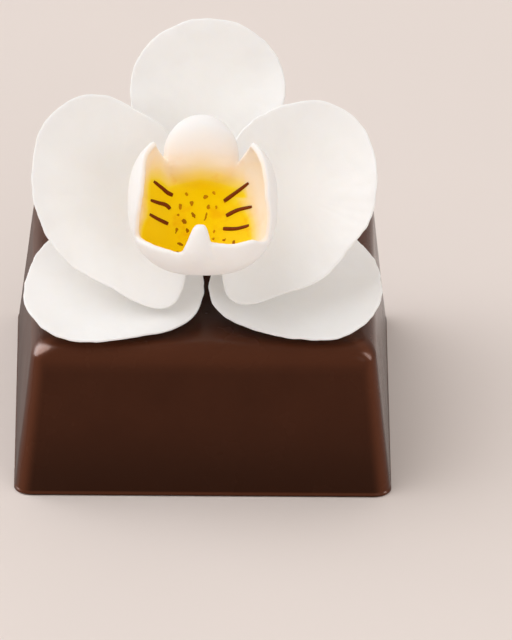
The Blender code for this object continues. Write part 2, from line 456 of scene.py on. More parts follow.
sugarFinish = {
    "surface": (330.0, 7000.0, 0.3),
    "bump": (0.25, 0.00012),
    "shades": (linear(242, 239, 235), linear(247, 245, 242)),
    "plain": {"Roughness": 0.55, "Specular IOR Level": 0.06, "Subsurface Weight": 0.35,
              "Subsurface Radius": (1.0, 0.85, 0.7), "Subsurface Scale": 0.0008},
}

lipFinish = {
    "surface": (420.0, 5200.0, 0.4),
    "bump": sugarFinish["bump"],
    "plain": {**sugarFinish["plain"], "Specular IOR Level": 0.02, "Subsurface Weight": 0.3},
    # the dust attribute runs from 0, bare white, through peach to 1, full yellow
    "dusting": [
        (0.0, linear(245, 242, 239)), (0.1, linear(252, 239, 228)), (0.2, linear(254, 232, 203)),
        (0.45, linear(254, 226, 140)), (0.75, linear(254, 222, 44)), (1.0, linear(254, 214, 2)),
    ],
    "unevenDusting": 0.22,
    "blush": linear(240, 160, 2),  # orange patches where the dusting is full
    "blushScale": 700.0,
    "blushStart": 0.56,
    "blushStrength": 2.6,
}


def makeLipMaterial(finish):
    material, tree, shader, mottle = startMaterial("dustedLip", finish)
    dust = attribute(tree, "dust")
    uneven = (mottle - 0.5) * finish["unevenDusting"]
    plug(tree, shader.inputs["Base Color"], addRamp(tree, dust + uneven * dust, finish["dusting"]))
    blush = addNoise(tree, objectPlace(tree), finish["blushScale"], detail=3.0, roughness=0.55)
    patchy = (blush - finish["blushStart"]).math("MAXIMUM", 0.0)
    tintMaterial(tree, shader, patchy * dust * finish["blushStrength"], finish["blush"])
    return material


paintFinish = {
    "surface": (1500.0, 9000.0, 0.4),
    "bump": (0.2, 0.00005),
    "shades": (linear(104, 42, 0), linear(134, 60, 0)),
    "faded": linear(226, 162, 2),
    "plain": {"Roughness": 0.6, "Specular IOR Level": 0.04},
}


def makePaintMaterial(finish):
    material, tree, shader, _ = startMaterial("brownPaint", finish)
    tintMaterial(tree, shader, attribute(tree, "pale"), finish["faded"])
    return material


chocolateMaterial = makeChocolateMaterial(chocolateFinish)
sugarMaterial = startMaterial("whiteSugarPaste", sugarFinish)[0]
lipMaterial = makeLipMaterial(lipFinish)
paintMaterial = makePaintMaterial(paintFinish)
print("made the finishes")


# Chocolate block

block = {
    "baseWidth": 30.0,
    "topWidth": 27.2,
    "height": 12.75,
    "cornerRadius": 1.4,
    "topCornerRadius": 1.9,
    "topFillet": 1.4,
    "footBevel": 0.08,
    "footRidge": 0.05,  # how far the rim at the foot stands out
    "footRidgeHeight": 0.3,
    "footLine": 0.13,  # the height over which the painted reflection, a pale line at the foot, fades out
    "cornerSteps": 12,
    "sideSteps": 34,
    "filletSteps": 12,
    "wallSteps": 22,
    "topRings": 22,
    "unevenness": 0.035,
    "unevenLength": 5.0,
    # where the painted highlight, the painted shade and the gloss change, each as (start, full)
    "topEdge": (0.78, 1.0),  # shares of the top's half width: no painted highlight nearer its middle
    "paleCorner": (0.9, 0.985),  # painted highlight on the upright corners, in shares of the way from the middle of a side to its corner
    "paleRim": (2.2, 1.0),  # painted highlight along the top rim, below the top
    "darkFoot": (7.5, 1.0),  # painted shade near the floor, as heights above it
    "dullSide": (0.99, 0.93),  # shares of the way from the middle of the left side to its corner
    # strengths of the painted highlight on the top rim and of the painted reflection at the foot
    "rimPaleness": 0.5,
    "footPaleness": 0.7,
}


def squareRing(half, radius, height, cornerSteps, sideSteps):  # anticlockwise from the front of the +X side
    ring = []
    straight = half - radius
    for side in range(4):
        turn = Matrix.Rotation(math.radians(90 * side), 3, "Z")
        for step in range(sideSteps):
            ring.append(turn @ Vector((half, -straight + 2 * straight * step / sideSteps, height)))
        for step in range(cornerSteps):
            angle = math.radians(90 * step / cornerSteps)
            ring.append(turn @ Vector((straight + radius * math.cos(angle),
                                       straight + radius * math.sin(angle), height)))
    return ring


def makeBlock(values):
    draft = math.atan2((values["baseWidth"] - values["topWidth"]) / 2, values["height"])

    def sideHalf(height):
        return values["baseWidth"] / 2 - height * math.tan(draft)

    top, radius, fillet = values["height"], values["cornerRadius"], values["topFillet"]
    foot = values["footBevel"]
    ridge, ridgeTop = values["footRidge"], values["footRidgeHeight"]
    levels = [(values["baseWidth"] / 2 - foot, radius - foot, 0.0)]  # (half width, corner radius, height)
    ridgeFull = 0.75 * ridgeTop
    for height in (foot, ridgeFull):
        levels.append((sideHalf(height) + ridge, radius, height))
    levels.append((sideHalf(ridgeTop), radius, ridgeTop))
    wallStart = ridgeTop + values["footLine"]
    centreHeight = top - fillet
    filletStart = centreHeight + fillet * math.sin(draft)
    for step in range(values["wallSteps"]):
        height = wallStart + (filletStart - wallStart) * step / values["wallSteps"]
        levels.append((sideHalf(height), radius, height))
    centreHalf = sideHalf(filletStart) - fillet * math.cos(draft)
    for step in range(values["filletSteps"] + 1):
        share = step / values["filletSteps"]
        angle = draft + (math.pi / 2 - draft) * share
        corner = radius + (values["topCornerRadius"] - radius) * share
        levels.append((centreHalf + fillet * math.cos(angle), corner,
                       centreHeight + fillet * math.sin(angle)))
    edgeHalf, edgeRadius, _ = levels[-1]
    for step in range(1, values["topRings"]):
        share = 1 - step / values["topRings"]
        levels.append((edgeHalf * share, edgeRadius * share, top))
    points = []
    for half, corner, height in levels:
        points.extend(squareRing(half, corner, height, values["cornerSteps"], values["sideSteps"]))
    count = 4 * (values["cornerSteps"] + values["sideSteps"])
    piece = newPiece("chocolateBlock", [point * mm for point in points], tubeFaces(count, len(levels)),
                     chocolateMaterial)
    ruffle(piece.data, values["unevenness"] * mm, values["unevenLength"] * mm)
    x, y, z = np.array(points).T
    reach, across = np.maximum(np.abs(x), np.abs(y)), np.minimum(np.abs(x), np.abs(y))
    # painted highlight on the upright corners and the top rim, and a painted reflection as a pale line at
    # the foot
    outward = smoothStep(*values["topEdge"], reach / edgeHalf)
    corner = smoothStep(*values["paleCorner"], across / reach) * outward
    rim = smoothStep(*values["paleRim"], top - z) * outward * values["rimPaleness"]
    footLine = smoothStep(wallStart, ridgeTop, z) * smoothStep(foot, ridgeFull, z) * values["footPaleness"]
    leftSide = smoothStep(*values["dullSide"], across / reach) * (x == -reach)
    setAttributes(piece, edge=np.maximum(np.maximum(corner, rim), footLine),
                  # painted shade, darker towards the foot
                  deep=smoothStep(*values["darkFoot"], z), dull=leftSide * smoothStep(top, centreHeight, z))
    finishPiece(piece, "dark_chocolate", "chocolate")


makeBlock(block)


# Petals and sepals: a blank of two skins and a round rim, shaped by one Geometry Nodes tree

def makePetalBlank(name, sectors=180, rings=30, rimSteps=8):
    rows = [(step / rings, 1.0, 0.0) for step in range(1, rings + 1)]  # share, side, outward
    for step in range(1, rimSteps):
        angle = math.pi / 2 - math.pi * step / rimSteps
        rows.append((1.0, math.sin(angle), math.cos(angle)))
    rows += [(step / rings, -1.0, 0.0) for step in range(rings, 0, -1)]
    spots = [(0.0, 1.0, 0.0, 0.0)]  # share, side, outward, direction
    for row in rows:
        spots += [(*row, 360 * k / sectors) for k in range(sectors)]
    spots.append((0.0, -1.0, 0.0, 0.0))
    shares, sides, outwards, directions = np.array(spots).T
    angles = np.radians(directions)
    points = np.array((shares * np.cos(angles), shares * np.sin(angles), sides * 0.1)).T * mm
    piece = newPiece(name, points, shellFaces(sectors, len(rows)))
    setAttributes(piece, share=shares, side=sides, outward=outwards, direction=directions)
    return piece


bulgeNames, bulgeKeys = ("Bulge A", "Bulge B", "Bulge C"), ("Direction", "Extra", "Spread")
bendNames, bendKeys = ("Bend A", "Bend B", "Bend C"), ("Direction", "Spread", "Lift", "Start")


def buildPetalTree():
    inputs = [(label, "Float", 0.0) for label in (
        "Half Long", "Half Short", "Turn", "Cup", "Middle Thickness", "Rim Thickness",
        "Ruffle", "Ruffle Size", "Nick", "Seed", "Tilt", "Hinge")]
    for names, keys in ((bulgeNames, bulgeKeys), (bendNames, bendKeys)):
        for name in names:
            inputs += [(f"{name} {key}", "Float", 1.0 if key == "Spread" else 0.0) for key in keys]
    inputs += [(label, "Vector") for label in ("Centre", "Across", "Up Slope", "Normal", "Nearer")]
    tree, get = startGeometryTree("petalShape", [*inputs, ("Material", "Material")])
    share, side = namedFloat(tree, "share"), namedFloat(tree, "side")
    outward, direction = namedFloat(tree, "outward"), namedFloat(tree, "direction")

    def bump(name):  # 1 in its own direction, falling off on both sides
        gap = (direction - get[name + " Direction"] + 180).math("FLOORED_MODULO", 360.0) - 180
        return ((gap / get[name + " Spread"]).toPower(2.0) * -1).math("EXPONENT")

    angle = direction.radians()
    ovalAngle = (direction - get["Turn"]).radians()
    longPart = (ovalAngle.cos() / get["Half Long"]).toPower(2.0)
    shortPart = (ovalAngle.sin() / get["Half Short"]).toPower(2.0)
    reach = (longPart + shortPart).toPower(-0.5)
    for name in bulgeNames:
        reach = reach + bump(name) * get[name + " Extra"]

    def wander(scale, radius, offset):  # smooth noise round the petal
        spot = addNode(tree, "ShaderNodeCombineXYZ", X=angle.cos() * radius, Y=angle.sin() * radius,
                       Z=get["Seed"] + offset)
        return addNoise(tree, spot, scale, detail=2.0) - 0.5

    reach = reach + wander(scale=4.2, radius=1.0, offset=7.0) * get["Nick"]
    height = (share * share - 1) * get["Cup"]
    for name in bendNames:
        start = get[name + " Start"]
        rise = ((share - start) / (start * -1 + 1)).math("MAXIMUM", 0.0)
        height = height + bump(name) * get[name + " Lift"] * rise * rise
    ruffled = wander(scale=1.0, radius=share * get["Ruffle Size"], offset=0.0)
    height = height + ruffled * get["Ruffle"] * share
    thick = get["Middle Thickness"] + (get["Rim Thickness"] - get["Middle Thickness"]) * share * share
    halfRim = get["Rim Thickness"] * 0.5
    distance = share * (reach - halfRim) + outward * halfRim
    sideways = distance * angle.cos()
    place = get["Centre"]
    for way, length in (("Across", sideways), ("Up Slope", distance * angle.sin()),
                        ("Normal", height + side * thick * 0.5),
                        ("Nearer", (sideways - get["Hinge"]) * get["Tilt"])):
        place = vectorMath(tree, "ADD", place, vectorMath(tree, "SCALE", get[way], scale=length))
    moved = addNode(tree, "GeometryNodeSetPosition", Geometry=get["Geometry"], Position=place)
    endGeometryTree(tree, moved, get["Material"])
    return tree


petalTree = buildPetalTree()

# bulges: (direction, extra reach, spread); bends: (direction, spread, lift, start);
# tilt: how fast one side comes nearer to the camera, and where across the petal it starts
sepalTop = {
    "centre": (0.06, 2.10, 27.29), "lean": 56, "yaw": 0, "half": (6.38, 5.97), "turn": 17,
    "bulges": [(269, 1.71, 33), (182, -0.28, 22)], "cup": 1.25, "thick": (0.72, 0.22),
    "bends": [(335, 24, 0.5, 0.3), (20, 20, -0.35, 0.4), (120, 40, -0.25, 0.5)],
    "ruffle": 0.45, "ruffleSize": 1.9, "nick": 0.3, "seed": 1.0, "tilt": (0.0, 0.0),
}
petalLeft = {
    "centre": (-7.58, -4.24, 22.14), "lean": 50, "yaw": -8, "half": (7.88, 6.15), "turn": 290,
    "bulges": [(80, -0.66, 22), (143, 0.21, 14), (303, 3.1, 19)], "cup": 2.1, "thick": (0.72, 0.22),
    "bends": [(303, 26, -0.25, 0.5), (180, 50, -0.3, 0.6), (60, 35, 0.3, 0.5)],
    "ruffle": 0.5, "ruffleSize": 1.8, "nick": 0.3, "seed": 2.0, "tilt": (-0.22, 3.5),
}
petalRight = {
    "centre": (7.42, -4.18, 21.99), "lean": 50, "yaw": 8, "half": (8.14, 6.21), "turn": 253,
    "bulges": [(235, 2.67, 17), (303, -0.55, 19), (89, -0.88, 30)], "cup": 2.1, "thick": (0.72, 0.22),
    "bends": [(262, 26, 0.45, 0.6), (0, 40, 0.25, 0.6), (60, 30, -0.3, 0.6)],
    "ruffle": 0.55, "ruffleSize": 2.0, "nick": 0.42, "seed": 3.0, "tilt": (0.22, -3.0),
}
sepalLowerLeft = {
    "centre": (-6.76, -6.70, 14.97), "lean": 14, "yaw": 0, "half": (6.50, 7.40), "turn": 210,
    "bulges": [(218, 1.81, 41), (283, -0.93, 29), (47, 0.95, 17)], "cup": 0.7, "thick": (0.62, 0.22),
    "bends": [(190, 40, 0.2, 0.6), (330, 30, -0.1, 0.6)],
    "ruffle": 0.4, "ruffleSize": 2.0, "nick": 0.46, "seed": 4.0, "tilt": (0.0, 0.0),
}
sepalLowerRight = {
    "centre": (7.91, -5.98, 15.15), "lean": 14, "yaw": 0, "half": (5.90, 7.69), "turn": 205,
    "bulges": [(115, -1.1, 31), (208, 2.03, 39), (142, 1.1, 15)], "cup": 0.7, "thick": (0.62, 0.22),
    "bends": [(350, 40, 0.2, 0.6)],
    "ruffle": 0.4, "ruffleSize": 2.0, "nick": 0.46, "seed": 5.0, "tilt": (0.0, 0.0),
}


def makePetal(name, values, node):
    lean, yaw = math.radians(values["lean"]), math.radians(values["yaw"])
    across = Vector((math.cos(yaw), math.sin(yaw), 0))
    level = Vector((-math.sin(yaw), math.cos(yaw), 0))
    upSlope = level * math.cos(lean) + Vector((0, 0, math.sin(lean)))
    rise = math.radians(cameraView["elevation"])
    nearer = Vector((0, -math.cos(rise), math.sin(rise)))  # towards the photograph's camera
    settings = {
        "Half Long": values["half"][0] * mm, "Half Short": values["half"][1] * mm,
        "Turn": float(values["turn"]), "Cup": values["cup"] * mm,
        "Middle Thickness": values["thick"][0] * mm, "Rim Thickness": values["thick"][1] * mm,
        "Ruffle": values["ruffle"] * mm, "Ruffle Size": values["ruffleSize"],
        "Nick": values["nick"] * mm, "Seed": values["seed"],
        "Tilt": values["tilt"][0], "Hinge": values["tilt"][1] * mm, "Nearer": nearer,
        "Centre": Vector(values["centre"]) * mm, "Across": across, "Up Slope": upSlope,
        "Normal": across.cross(upSlope), "Material": sugarMaterial,
    }
    shaping = ((bulgeNames, bulgeKeys, values["bulges"]), (bendNames, bendKeys, values["bends"]))
    for names, keys, rows in shaping:
        for label, row in zip(names, rows):
            for key, value in zip(keys, row):
                settings[f"{label} {key}"] = value * mm if key in ("Extra", "Lift") else float(value)
    piece = makePetalBlank(name)
    runTree(piece, petalTree, settings)
    finishPiece(piece, "white_sugar", node)


makePetal("sepalTop", sepalTop, "sepal_top")
makePetal("petalLeft", petalLeft, "petal_left")
makePetal("petalRight", petalRight, "petal_right")
makePetal("sepalLowerLeft", sepalLowerLeft, "sepal_lower_left")
makePetal("sepalLowerRight", sepalLowerRight, "sepal_lower_right")


# Lip: pouch and column in one moulding, merged by a voxel remesh and softened

lip = {
    "centre": (-0.195, -9.96, 23.97),
    "elevation": 42.0,
    "halfWidth": 5.92,
    "halfHeight": 5.87,
    "squareness": 2.5,  # 2 is an oval seen from the front, more is boxier
    "backDepth": 3.8,
    "frontDepth": 3.6,
    "wall": 0.5,
    # the rim, as (direction round the lip's axis, angle from its back)
    "rim": [
        (-180, 119), (-169.5, 116), (-156.5, 106), (-150, 96), (-146, 102), (-138.5, 111), (-129, 117),
        (-119, 121), (-111, 122.5), (-100, 128), (-90, 133), (-80, 135), (-68.5, 132), (-58, 127.5),
        (-48.5, 124), (-41, 119), (-37, 108), (-32.5, 100), (-27.5, 104), (-18.5, 109), (1, 117),
        (23, 116), (37, 110), (46, 102), (50.5, 98), (52.5, 66), (54, 42), (64, 36), (90, 34), (116, 36),
        (126.5, 42), (127.8, 68), (129, 99), (134, 102), (144.5, 111), (157, 120), (175.5, 121),
    ],
    # the horn on the front wall: (angle, half width, half thickness)
    "horn": [(104, 0.5, 0.2), (113, 1.05, 0.42), (122, 1.3, 0.55), (130, 1.18, 0.6), (138, 0.92, 0.58),
             (145, 0.74, 0.52), (150, 0.58, 0.44), (153.5, 0.34, 0.27)],
    "hornDirection": -94.5,
    "columnCentre": (-0.33, -5.1, 25.45),
    "columnHalf": (3.0, 1.4),
    "columnUp": 3.35,
    "columnDown": 2.7,
    "columnLean": 20,
    "columnSquareness": (3.0, 4.0),  # of its foot, seen from above and from the front; its top is an egg
    "columnBend": 0.9,  # how far its foot runs back into the wall
    "riseAxis": (0.0, 0.497, 0.868),  # up the flower's face, as the photograph shows it
    "voxel": 0.1,
    "softening": 5,
    "seamSoftening": 130,
    # where the column's seam inside the pouch is softened, each as (none, full)
    "seamInset": (-0.2, 0.3),
    "seamAngle": (60, 40),
    "seamRise": (19.4, 18.3),
    "seamUpwards": (-1.0, 0.5),
    # the same beside the horn: off its direction, and as angles from the lip's back
    "hornSeamSide": (28, 18),
    "hornSeamLow": (85, 100),
    "hornSeamHigh": (130, 119),
    # the dusting inside: (direction, angle where it is still thin, angle where it is full)
    "dusting": [
        (-177.5, 75, 50), (-169, 76, 52), (-157, 87, 64), (-148, 97, 73), (-138, 104, 82),
        (-50, 104, 82), (-41, 76, 58), (-33, 73, 50), (-25, 70, 44), (-13, 64, 40), (-3, 60, 35),
        (12, 61, 27), (28, 61, 24), (40, 60, 20), (55, 70, 36), (90, 70, 40), (127, 76, 50),
        (146, 76, 51), (155, 75, 53), (166, 75, 51),
    ],
    "thinDust": 0.13,
    # how strongly it is dusted at each height up the flower's face
    "fade": [(16.85, 1.0), (17.33, 0.92), (17.81, 0.64), (18.3, 0.46), (18.78, 0.29), (19.27, 0.2),
             (19.75, 0.15), (20.23, 0.1), (20.72, 0.07), (21.2, 0.05), (22.2, 0.0)],
    # the fade's dip at places across the flower
    "fadeDip": [(-5, 0), (-3.6, 0), (-2.9, 0.55), (-1.8, 0.3), (-0.35, 0), (1.2, 0.3), (2.3, 0.6),
                (3.2, 1.0), (6, 1.0)],
    # directions between which the walls become the side lobes, where dust comes right up over the rim
    "lobes": ((-47, -32), (140, 155)),
    "bareRim": 0.5,  # the share of the wall's thickness that is bare on the front wall's rim
    "rimFade": 0.4,
    # the column's dusting, as (none, full) in shares of its half sizes
    "columnSides": (1.35, 1.1),
    "columnFront": (0.4, 0.0),
    "columnBack": (-2.6, -1.8),
    "columnFoot": (-1.25, -1.1),
}


def lipAxes(values):
    rise = math.radians(values["elevation"])
    across = np.array((1.0, 0.0, 0.0))
    upward = np.array((0.0, math.sin(rise), math.cos(rise)))
    outward = np.array((0.0, -math.cos(rise), math.sin(rise)))
    return across, upward, outward


def lipRim(values, direction):
    turns, angles = np.array(values["rim"], dtype=float).T
    return np.interp(direction, turns, angles, period=360)


def lipPoints(values, direction, tipAngle, inset):  # numbers or arrays in, rows of points out
    across, upward, outward = lipAxes(values)
    angle, turn = np.radians(tipAngle), np.radians(direction)
    power = values["squareness"]
    boxy = (np.abs(np.cos(turn)) ** power + np.abs(np.sin(turn)) ** power) ** (-1 / power)
    depth = np.where(tipAngle < 90, values["backDepth"], values["frontDepth"])
    sideways = (values["halfWidth"] * boxy - inset) * np.sin(angle) * np.cos(turn)
    upwards = (values["halfHeight"] * boxy - inset) * np.sin(angle) * np.sin(turn)
    forwards = -(depth - inset) * np.cos(angle)
    return (np.array(values["centre"]) + np.outer(sideways, across)
            + np.outer(upwards, upward) + np.outer(forwards, outward))


def rimDirections(values, sectors, steepness=0.8):  # closer together where the rim rises or falls steeply
    fine = np.linspace(-180, 180, 7201)
    rim = lipRim(values, fine)
    travel = np.hypot(np.diff(fine), np.diff(rim) * steepness)
    along = np.concatenate([[0], np.cumsum(travel)])
    return np.interp(np.linspace(0, along[-1], sectors, endpoint=False), along, fine)


def makePouchForm(values, sectors=420, rings=70, rimSteps=6):
    directions = rimDirections(values, sectors)
    rim = lipRim(values, directions)
    for _ in range(6):  # takes the corners off the rim's line
        rim = (np.roll(rim, 1) + 2 * rim + np.roll(rim, -1)) / 4
    wall = values["wall"]
    rows = [(step / rings, 0.0, 0.0) for step in range(1, rings + 1)]  # share, inset share, lead share
    for step in range(1, rimSteps):
        angle = math.pi * step / rimSteps
        rows.append((1.0, (1 - math.cos(angle)) / 2, math.sin(angle)))
    rows += [(step / rings, 1.0, 0.0) for step in range(rings, 0, -1)]
    points = [lipPoints(values, 0, 0, 0)]
    lead = math.degrees(wall / 2 / values["halfHeight"])
    for share, insetShare, leadShare in rows:
        points.append(lipPoints(values, directions, rim * share + lead * leadShare, wall * insetShare))
    points.append(lipPoints(values, 0, 0, wall))
    return newPiece("pouchForm", np.concatenate(points) * mm, shellFaces(sectors, len(rows)))


def makeHornForm(values, segments=32, steps=40):
    across, upward, outward = lipAxes(values)
    angles, widths, thicknesses = np.array(values["horn"], dtype=float).T
    rings = []
    for step in range(steps + 1):
        angle = angles[0] + (angles[-1] - angles[0]) * step / steps
        width, thick = np.interp(angle, angles, widths), np.interp(angle, angles, thicknesses)
        centre = lipPoints(values, values["hornDirection"], angle, values["wall"] / 2)[0]
        outer = lipPoints(values, values["hornDirection"], angle, 0)[0]
        away = (outer - centre) / np.linalg.norm(outer - centre)
        for k in range(segments):
            turn = 2 * math.pi * k / segments
            rings.append(centre + across * width * math.cos(turn) + away * thick * math.sin(turn))
    return newPiece("hornForm", np.array(rings) * mm, tubeFaces(segments, steps + 1, clockwise=True))


def makeColumnForm(values, around=72, rows=48):
    halfX, halfY = values["columnHalf"]
    lean = Matrix.Rotation(math.radians(-values["columnLean"]), 3, "X")
    points = []
    for row in range(rows + 1):
        level = math.cos(math.pi * row / rows)
        across, along = (2.0, 2.0) if level > 0 else values["columnSquareness"]
        height = math.copysign(abs(level) ** (2 / along), level)
        height *= values["columnUp"] if level > 0 else values["columnDown"]
        girth = (1 - level * level) ** (1 / along)
        back = values["columnBend"] * (height / values["columnDown"]) ** 2 if level < 0 else 0.0
        for k in range(1 if row in (0, rows) else around):
            cosine, sine = math.cos(2 * math.pi * k / around), math.sin(2 * math.pi * k / around)
            local = Vector((math.copysign(abs(cosine) ** (2 / across), cosine) * girth * halfX,
                            math.copysign(abs(sine) ** (2 / across), sine) * girth * halfY + back, height))
            points.append((Vector(values["columnCentre"]) + lean @ local) * mm)
    return newPiece("columnForm", points, shellFaces(around, rows - 1))


def pouchPlaces(values, mesh):  # each vertex in the pouch's own terms
    points = np.empty(len(mesh.vertices) * 3)
    mesh.vertices.foreach_get("co", points)
    points = points.reshape(-1, 3) / mm
    across, upward, outward = lipAxes(values)
    offset = points - np.array(values["centre"])
    sideways, upwards, forwards = offset @ across, offset @ upward, offset @ outward
    power = values["squareness"]
    flat = np.hypot(sideways / values["halfWidth"], upwards / values["halfHeight"]) + 1e-9
    cosine, sine = sideways / values["halfWidth"] / flat, upwards / values["halfHeight"] / flat
    boxy = (np.abs(cosine) ** power + np.abs(sine) ** power) ** (-1 / power)
    depth = np.where(forwards < 0, values["backDepth"], values["frontDepth"])
    radius = np.hypot(flat / boxy, forwards / depth)
    return {
        "points": points,
        "direction": np.degrees(np.arctan2(sine, cosine)),
        "angle": np.degrees(np.arccos(np.clip(-forwards / depth / radius, -1, 1))),
        "inset": (1 - radius) * np.linalg.norm(offset, axis=1) / radius,
        "rise": points @ np.array(values["riseAxis"]),
        "upwards": upwards,
    }


def dustOf(values, mesh):  # how much yellow each point of the lip carries
    place = pouchPlaces(values, mesh)
    wall = values["wall"]
    lobeStart, lobeEnd = values["lobes"]
    onLobe = np.maximum(smoothStep(*lobeStart, place["direction"]),
                        smoothStep(*lobeEnd, np.abs(place["direction"])))
    turns, thinAngles, fullAngles = np.array(values["dusting"], dtype=float).T
    thinAngle = np.interp(place["direction"], turns, thinAngles, period=360)
    fullAngle = np.interp(place["direction"], turns, fullAngles, period=360)
    share = np.clip((thinAngle - place["angle"]) / (thinAngle - fullAngle), 0, 1)
    across = values["thinDust"] + (1 - values["thinDust"]) * share * share
    sides, dips = np.array(values["fadeDip"], dtype=float).T
    heights, shares = np.array(values["fade"], dtype=float).T
    rise = place["rise"] + np.interp(place["points"][:, 0], sides, dips)
    upper = np.interp(rise, heights, shares)
    dust = np.minimum(across, upper)
    start = values["bareRim"] * (1 - onLobe)
    dust = dust * smoothStep(wall * start, wall * (start + values["rimFade"]), place["inset"])
    lean = Matrix.Rotation(math.radians(values["columnLean"]), 3, "X")
    local = (place["points"] - np.array(values["columnCentre"])) @ np.array(lean).T
    width, depth = local[:, 0] / values["columnHalf"][0], local[:, 1] / values["columnHalf"][1]
    onColumn = allSteps(values, columnSides=np.abs(width), columnFront=depth,
                        columnFoot=local[:, 2] / values["columnDown"], columnBack=depth)
    return np.maximum(dust, upper * onColumn)


def seamOf(values, mesh):  # how much each point is softened where the forms meet
    place = pouchPlaces(values, mesh)
    angle, aside = place["angle"], np.abs(place["direction"] - values["hornDirection"])
    return np.maximum(
        allSteps(values, seamInset=place["inset"], seamAngle=angle, seamRise=place["rise"],
                 seamUpwards=place["upwards"]),
        allSteps(values, hornSeamSide=aside, hornSeamLow=angle, hornSeamHigh=angle))


def joinForms(first, *others):
    joined = bmesh.new()
    for form in (first, *others):
        joined.from_mesh(form.data)
    joined.to_mesh(first.data)
    joined.free()
    for form in others:
        bpy.data.objects.remove(form)


def makeLip(values):
    pouch = makePouchForm(values)
    joinForms(pouch, makeHornForm(values), makeColumnForm(values))
    pouch.name = "lipPouch"
    remesh = pouch.modifiers.new("merge", "REMESH")
    remesh.mode = "VOXEL"
    remesh.voxel_size = values["voxel"] * mm
    remesh.use_smooth_shade = True
    bakeModifiers(pouch)
    seam = seamOf(values, pouch.data)
    group = pouch.vertex_groups.new(name="seam")
    for index in np.nonzero(seam > 0.01)[0]:
        group.add([int(index)], float(seam[index]), "REPLACE")
    blend = pouch.modifiers.new("blendSeam", "SMOOTH")
    blend.iterations = values["seamSoftening"]
    blend.vertex_group = "seam"
    soften = pouch.modifiers.new("soften", "SMOOTH")
    soften.iterations = values["softening"]
    blend.factor = soften.factor = 0.5
    bakeModifiers(pouch)
    pouch.vertex_groups.clear()
    setAttributes(pouch, dust=dustOf(values, pouch.data))
    pouch.data.materials.clear()
    pouch.data.materials.append(lipMaterial)
    finishPiece(pouch, "lip_sugar", "lip")
    return pouch


lipPiece = makeLip(lip)


# Painted marks inside the lip, placed by (direction round the lip's axis, angle from its back)

marks = {
    "strokes": [
        [(150.5, 51), (151.5, 40), (153, 33), (152, 28)],
        [(171, 50), (171.5, 40), (172, 32.5), (177.5, 28.5)],
        [(187, 51), (193.5, 40.5), (202.5, 31.5)],
        [(30.5, 47.5), (29, 31), (26, 19.5)],
        [(3, 46.5), (1, 31.5), (-11, 20.5)],
        [(-19.5, 44.5), (-29, 32.5), (-41, 22)],
    ],
    "guideDepth": 0.55,  # below the lip's outer skin: just inside the inner one
    "strokeRadius": 0.2,
    "strokeSink": 0.12,
    "strokePoints": 28,
    # freckles: (direction, angle, length, width, slant, paleness)
    "freckles": [
        (132, 19, 0.3, 0.3, 0, 0.75), (78, 13, 0.38, 0.42, 20, 0.66), (59, 18, 0.26, 0.3, 0, 0.85),
        (142, 11, 0.5, 0.33, -8, 0.55), (168, 19, 0.54, 0.32, 0, 0.62), (40, 6, 0.42, 0.34, 0, 0.62),
        (-59, 5, 0.95, 0.17, -16, 0.62), (18, 12, 0.36, 0.18, 0, 0.78), (-158, 8, 0.55, 0.26, 28, 0.36),
        (-170, 21, 0.26, 0.24, 0, 0.6), (-150, 17, 0.46, 0.42, 35, 0.32), (-141, 27, 0.6, 0.24, 0, 0.5),
        (-127, 20, 0.4, 0.36, 0, 0.34), (-122, 35, 0.56, 0.3, 70, 0.34), (-54, 31, 0.4, 0.24, -60, 0.48),
        (-47, 39, 0.44, 0.22, -10, 0.38), (-118, 46, 0.7, 0.24, 78, 0.26), (-69, 26, 0.24, 0.22, 0, 0.75),
        (-60, 19, 0.42, 0.18, 0, 0.8), (-85, 19, 0.3, 0.24, 0, 0.5), (24, 20, 0.3, 0.16, 10, 0.85),
    ],
    "freckleHeight": 0.24,
    "freckleSink": 0.05,
    "freckleWander": 0.1,  # how uneven their outlines are
    "freckleGrain": 5200.0,
}


def onLipSkin(tree, get):  # the nearest place on the lip's skin, sunk a little, and the skin's normal there
    skin = addNode(tree, "GeometryNodeObjectInfo", Object=get["Lip"]).outputs["Geometry"]
    nearest = addNode(tree, "GeometryNodeProximity", Geometry=skin)
    normal = addNode(tree, "GeometryNodeSampleNearestSurface", {"data_type": "FLOAT_VECTOR"}, Mesh=skin)
    plug(tree, normal.inputs["Value"], tree.nodes.new("GeometryNodeInputNormal"))
    sunk = vectorMath(tree, "SCALE", normal, scale=get["Sink"] * -1)
    return vectorMath(tree, "ADD", nearest.outputs["Position"], sunk), normal


def buildStrokeTree():
    tree, get = startGeometryTree("brushStrokes", [
        ("Lip", "Object"), ("Radius", "Float"), ("Sink", "Float"), ("Points", "Int"),
        ("Material", "Material")])
    place, _ = onLipSkin(tree, get)
    curve = addNode(tree, "GeometryNodeMeshToCurve", Mesh=get["Geometry"])
    rounded = addNode(tree, "GeometryNodeCurveSplineType", {"spline_type": "CATMULL_ROM"}, Curve=curve)
    even = addNode(tree, "GeometryNodeResampleCurve", Curve=rounded, Count=get["Points"])
    laid = addNode(tree, "GeometryNodeSetPosition", Geometry=even, Position=place)
    along = Num(tree, tree.nodes.new("GeometryNodeSplineParameter").outputs["Factor"])
    fromMiddle = (along * 2 - 1).toPower(6.0)  # blunt ends: full width for most of the stroke
    taper = (fromMiddle * -0.12 + 1) * (along * 0.2 + 0.9)  # and a little wider towards the last end
    profile = addNode(tree, "GeometryNodeCurvePrimitiveCircle", Radius=get["Radius"], Resolution=12)
    tube = addNode(tree, "GeometryNodeCurveToMesh", Curve=laid, ProfileCurve=profile, FillCaps=True,
                   Scale=taper)
    endGeometryTree(tree, tube, get["Material"])
    return tree


